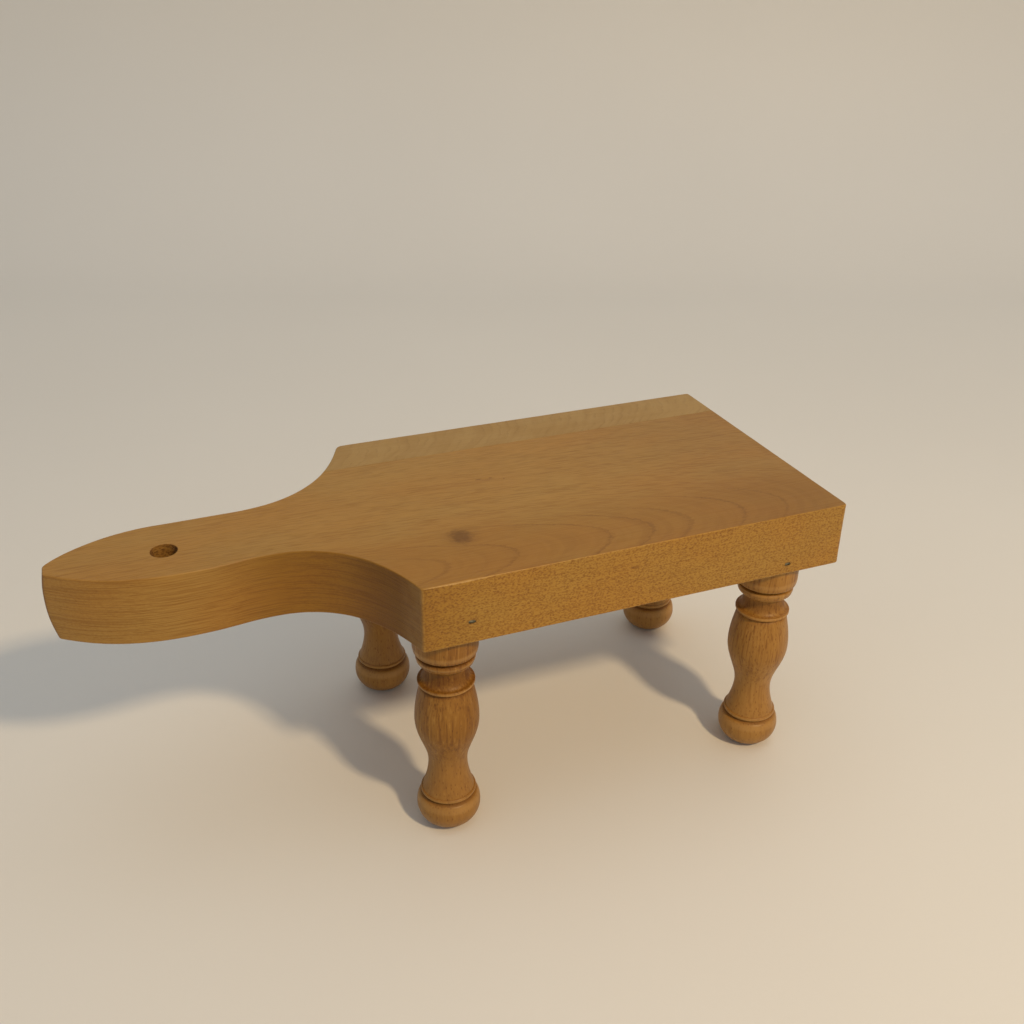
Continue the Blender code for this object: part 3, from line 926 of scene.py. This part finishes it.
def edge_stave_look():
    look = Look("beech_edge_stave_figure")
    x, y, z = place = look.place()
    facing_x, facing_y, facing_z = look.facing()
    on_side = facing_y.eased(0.5, 0.85)
    end_grain = facing_x.eased(0.6, 0.9)
    sway = look.noise(x / 30.0, y / 12.0, z / 12.0) * 0.9 + look.noise(x / 5.0, y / 4.0, z / 4.0) * 0.3
    across = y + sway
    lines = look.noise(x / 30.0, across / 0.45, z / 0.45, 3.0, 0.6)
    hairs = look.noise(x / 6.0, across / 0.17, z / 0.15, 2.0, 0.6)
    cloud = look.noise(x / 20.0, y / 9.0, z / 14.0, 2.0)

    # Cross figure: thin dark arcs that lean across the stave, and soft curl between them
    off = y - (GLUE_LINE_Y + HALF_WIDTH) / 2
    leaning = x - off * 0.55 + off * off * 0.035 + z * 0.3
    leaning = leaning + look.noise(x / 9.0, y / 5.0, z / 8.0, 2.0) * 2.4
    phase = (leaning / 2.7).fraction()
    broken = look.noise(x / 5.0, y / 3.0, z / 6.0).eased(-0.4, 0.5)
    arcs = phase.eased(0.6, 0.93) * phase.eased(1.0, 0.95) * broken
    curl = look.noise(leaning / 3.0, y / 12.0, z / 12.0, 2.0)

    color = look.blend(cloud.eased(-0.5, 0.5), STRIP_DARK, STRIP_PALE)
    color = look.darken(color, curl.eased(-0.25, 0.35) * 0.45, (0.84, 0.78, 0.68))
    color = look.darken(color, arcs * 0.5, (0.72, 0.65, 0.54))
    color = look.darken(color, lines.eased(-0.2, 0.5) * 0.35, (0.84, 0.78, 0.70))
    color = look.darken(color, hairs.eased(0.0, 0.6) * 0.3, HAIR_TINT)
    # Painted light: the long sides tinted warmer and yellower than the top
    color = look.darken(color, on_side * 0.9, SIDE_WARM_LIGHT_TINT)
    dash = edge_figure(look, x, y, z, facing_y)
    color = look.darken(color, dash, DASH_TINT)
    color = look.darken(color, brad_stain(look, x, z, facing_y, "back") * 0.7, BRUISE_TINT)
    growth = (z + off * 0.7 + cloud) / EDGE_STAVE_RING_SPACING
    color, pore = end_wood(look, color, place, end_grain, growth, 0.5, (0.76, 0.67, 0.54))
    edge = highlighted_edges(look, x, y, z, facing_x, facing_y, facing_z)
    # Painted highlight on the eased edges and corners
    color = look.blend(edge * 0.3, color, EDGE_HIGHLIGHT)

    height = lines * 0.4 + hairs * 0.3 + curl * 0.3 - arcs * 0.3 - dash * 0.9 - pore * 0.8
    rough = 0.42 + lines * 0.05 + curl * 0.05 + end_grain * 0.14 - edge * 0.06
    look.finish(color, rough, height, BOARD_RELIEF)
    look.varnish(*WOOD_VARNISH)
    return look.material


# Height, half height and strength of the painted shade in the leg's grooves and coves
LEG_GROOVES = [(50.6, 0.5, 1.0), (45.5, 2.9, 0.9), (41.6, 0.6, 1.0), (9.15, 0.5, 1.0)]
# Height and half height of the painted highlights on its edges
LEG_HIGHLIGHT_BANDS = [(52.6, 0.9), (49.6, 0.5), (42.6, 0.45), (9.95, 0.4), (7.6, 1.3)]


def leg_look():
    look = Look("beech_leg_grain")
    x, y, z = look.place()
    facing_z = look.facing()[2]
    px = x + look.noise(x / 12.0, y / 12.0, z / 30.0) * 1.2
    py = y + look.noise(x / 9.0, y / 9.0, z / 22.0 + 5.0) * 0.8
    bands = look.noise(px / 2.6, py / 2.6, z / 40.0, 2.0)
    lines = look.noise(px / 0.6, py / 0.6, z / 16.0, 3.0, 0.6)
    hairs = look.noise(px / 0.18, py / 0.18, z / 4.0, 2.0, 0.6)
    cloud = look.noise(x / 9.0, y / 9.0, z / 12.0, 2.0)
    rough_spots = look.noise(x / 0.5, y / 0.5, z / 0.6, 3.0, 0.7)

    # The legs towards the square end are a little paler: painted shade darkens the legs towards the handle,
    # under the board's overhang; the cloud gives the wood's own uneven tone
    color = look.blend(x.eased(0.0, 70.0) * 0.6 + cloud * 0.5 + 0.2, LEG_DARK_AND_SHADED, LEG_PALE_AND_LIT)
    color = look.darken(color, bands.eased(-0.1, 0.4) * 0.6, (0.80, 0.71, 0.58))
    color = look.darken(color, lines.eased(0.0, 0.3), (0.72, 0.63, 0.50))
    color = look.blend(lines.eased(-0.1, -0.4) * 0.35, color, (0.52, 0.28, 0.06))
    color = look.darken(color, hairs.eased(0.0, 0.6) * 0.35, (0.76, 0.67, 0.55))
    # Painted light: lighter from the belly down, below the board's shadow
    color = look.blend(z.eased(30.0, 16.0) * 0.45, color, (0.40, 0.205, 0.05))
    near_fleck, own = look.cells(x / 0.55, y / 0.55, z / 1.5)
    fleck = near_fleck.eased(0.36, 0.18) * own.eased(0.45, 0.6)
    color = look.darken(color, fleck * 0.65, (0.56, 0.44, 0.32))
    grooves = 0.0
    for height, reach, strength in LEG_GROOVES:
        grooves = grooves + ((z - height) / reach).size().eased(1.0, 0.15) * strength
    edges = 0.0
    for height, reach in LEG_HIGHLIGHT_BANDS:
        edges = edges + ((z - height) / reach).size().eased(1.0, 0.2)
    # Painted shade in the grooves and the cove, blotched by the rough spots
    dark_blotches = grooves * (rough_spots * 0.6 + 0.75)
    color = look.darken(color, dark_blotches * 0.85, (0.46, 0.36, 0.26))
    # Painted highlight on the cap, bead, rim, ring and foot edges
    color = look.blend(edges * (cloud * 0.3 + 0.35), color, (0.50, 0.28, 0.085))
    end_grain = facing_z.eased(0.75, 0.98)
    color = look.darken(color, end_grain * 0.5, (0.75, 0.66, 0.56))

    # Faint lines left by the turning
    turning = look.noise(x / 60.0, y / 60.0, z / 0.22, 2.0)
    height = lines * 0.45 + hairs * 0.3 - fleck * 0.6 + turning * 0.5 + rough_spots * grooves * 0.9
    rough = 0.42 + lines * 0.05 + cloud * 0.05 + turning * 0.03 + grooves * 0.3 - edges * 0.05
    look.finish(color, rough, height, LEG_RELIEF)
    look.varnish(*WOOD_VARNISH)
    return look.material


def brad_look():
    look = Look("steel_brad_tarnish")
    x, y, z = look.place()
    dark_blotches = look.noise(x / 0.5, y / 0.5, z / 0.35, 4.0, 0.65)
    scratch = look.noise(x / 0.12, y / 3.0, z / 0.9, 2.0)
    color = look.blend(dark_blotches.eased(-0.3, 0.45), (0.27, 0.26, 0.19), (0.10, 0.08, 0.05))
    look.finish(color, 0.5 + dark_blotches * 0.2, dark_blotches * 0.6 + scratch * 0.4, 0.03)
    look.shader.inputs["Metallic"].default_value = 0.75
    return look.material


def floor_look():
    look = Look("pale_floor")
    x, y, z = look.place()
    cloud = look.noise(x / 180.0, y / 180.0, z / 180.0, 2.0)
    grit = look.noise(x / 0.9, y / 0.9, z / 0.9, 2.0)
    color = look.blend(cloud.eased(-0.6, 0.6), (0.80, 0.785, 0.75), (0.82, 0.805, 0.77))
    look.finish(color, 0.55 + grit * 0.03, grit, 0.01)
    look.varnish(0.0, 0.3, 0.3)
    return look.material


# ---------------------------------------------------------------- stage, light and camera

VIEW_TURN = math.radians(22.2)           # the camera looks this much to the right of +Y
VIEW_TILT = math.radians(27.9)           # and this much down
VIEW_ROLL = math.radians(0.57)
VIEW_FROM = (-0.0755, -0.2327, 0.2005)
LENS_MM = 39.04
SENSOR_MM = 36.0
LIGHT_TARGET = (0.0, 0.0, 0.04)


def build_floor():
    """Sheet that runs back and curves up into a backdrop, square to the camera."""
    back, lift, wall, front, half_width = 0.42, 0.16, 1.3, -1.6, 1.8
    profile = [(front + (back - front) * i / 12, 0.0) for i in range(13)]
    profile += [(back + lift * math.sin(a), lift * (1 - math.cos(a)))
                for a in (math.radians(6 * k) for k in range(1, 16))]
    profile.append((back + lift, wall))
    bm = bmesh.new()
    rows = [[bm.verts.new((x, y, z)) for y, z in profile] for x in np.linspace(-half_width, half_width, 9)]
    for left, right in zip(rows, rows[1:]):
        for i in range(len(profile) - 1):
            bm.faces.new((left[i], right[i], right[i + 1], left[i + 1]))
    mesh = bpy.data.meshes.new("floor")
    bm.to_mesh(mesh)
    bm.free()
    mesh.shade_smooth()
    floor = new_object("floor", mesh)
    floor.rotation_euler.z = -VIEW_TURN
    return floor


def area_light(name, direction, distance, size, power, color):
    """Square light that shines on the board from a direction."""
    light = bpy.data.lights.new(name, "AREA")
    light.size = size
    light.energy = power
    light.color = color
    obj = bpy.data.objects.new(name, light)
    bpy.context.scene.collection.objects.link(obj)
    toward = Vector(direction).normalized()
    obj.location = toward * distance + Vector(LIGHT_TARGET)
    obj.rotation_euler = toward.to_track_quat("Z", "Y").to_euler()
    return obj


def build_lights():
    area_light("key", (0.24, -0.69, 0.68), 0.85, 0.06, 3.7, (1.0, 0.74, 0.43))
    area_light("fill", (0.15, 0.1, 1.0), 1.3, 1.2, 2.4, (0.96, 0.98, 1.0))
    world = bpy.data.worlds.new("room")
    world.use_nodes = True
    background = world.node_tree.nodes["Background"]
    background.inputs["Color"].default_value = (0.98, 1.0, 1.0, 1.0)
    background.inputs["Strength"].default_value = 0.35
    bpy.context.scene.world = world


def build_camera():
    data = bpy.data.cameras.new("camera")
    data.lens = LENS_MM
    data.sensor_width = SENSOR_MM
    camera = bpy.data.objects.new("camera", data)
    bpy.context.scene.collection.objects.link(camera)
    turn = Matrix.Rotation(-VIEW_TURN, 4, "Z")
    tilt = Matrix.Rotation(math.pi / 2 - VIEW_TILT, 4, "X")
    roll = Matrix.Rotation(VIEW_ROLL, 4, "Z")
    camera.matrix_world = Matrix.Translation(VIEW_FROM) @ turn @ tilt @ roll
    bpy.context.scene.camera = camera
    bpy.context.scene.view_settings.view_transform = "Standard"


# ---------------------------------------------------------------- assembly

def settle(piece, node, material):
    """Give a piece its material, and let it stand for its CAD node."""
    piece.data.materials.clear()
    piece.data.materials.append(material)
    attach(piece, "root")
    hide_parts(node)


def build():
    main_stave, edge_stave = build_board()
    settle(main_stave, "board_main_stave", main_stave_look())
    settle(edge_stave, "board_edge_stave", edge_stave_look())
    leg_wood = leg_look()
    steel = brad_look()
    for nudge, (side, end) in enumerate(LEGS):
        leg = build_leg(side, end, 17.0 * nudge)
        settle(leg, f"leg_{side}_{end}", leg_wood)
        brad = build_brad(side, end)
        settle(brad, f"brad_{side}_{end}", steel)
    floor = build_floor()
    floor.data.materials.append(floor_look())
    build_lights()
    build_camera()


build()
